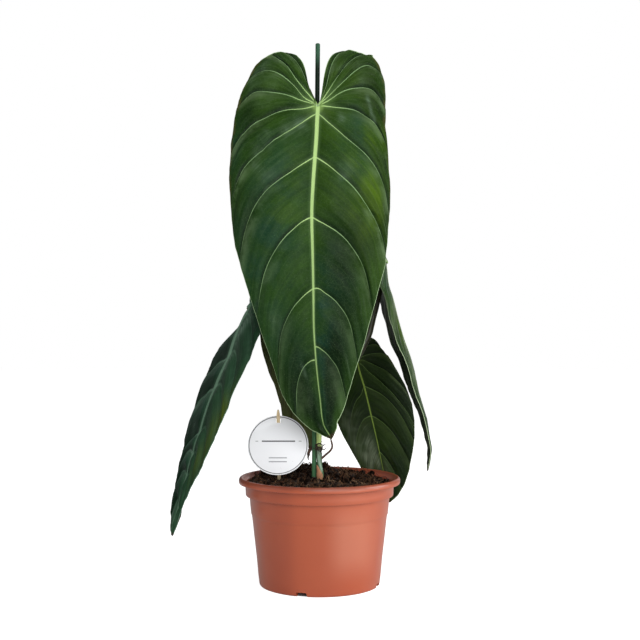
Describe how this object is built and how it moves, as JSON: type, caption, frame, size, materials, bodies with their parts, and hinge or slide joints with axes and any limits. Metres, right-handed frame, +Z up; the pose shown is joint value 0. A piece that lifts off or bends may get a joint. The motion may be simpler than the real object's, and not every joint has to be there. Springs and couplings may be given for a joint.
{
  "type": "potted philodendron",
  "caption": "Climbing philodendron with long heart-shaped dark green leaves beside a green stake, in a terracotta-coloured nursery pot with a round white label on a peg.",
  "frame": {"origin": "centre of the pot's underside, on the surface that it stands on", "axes": "+Z up, along the stake; the face of the largest leaf and of the label looks towards -Y; +X is to the viewer's right"},
  "size_m": [0.3112, 0.1975, 0.6387],
  "materials": {
    "pot": "satin",
    "soil": "matte",
    "stake": "satin",
    "label_disc": "matte",
    "label_peg": "matte",
    "stem": "satin",
    "stem_base": "matte",
    "root": "matte",
    "petiole": "satin",
    "petiole_brown": "satin",
    "leaf": "satin"
  },
  "bodies": {
    "root": {"pot": "pot", "soil": "soil", "stake": "stake", "label_disc": "label_disc", "label_peg": "label_peg", "stem": "stem", "stem_base": "stem_base", "root_bud": "root", "aerial_root": "root", "petiole_front": "petiole", "petiole_left": "petiole", "petiole_back": "petiole", "petiole_right": "petiole_brown", "petiole_low": "petiole", "blade_front": "leaf", "blade_left": "leaf", "blade_back": "leaf", "blade_right": "leaf", "blade_low": "leaf"}
  },
  "joints": []
}
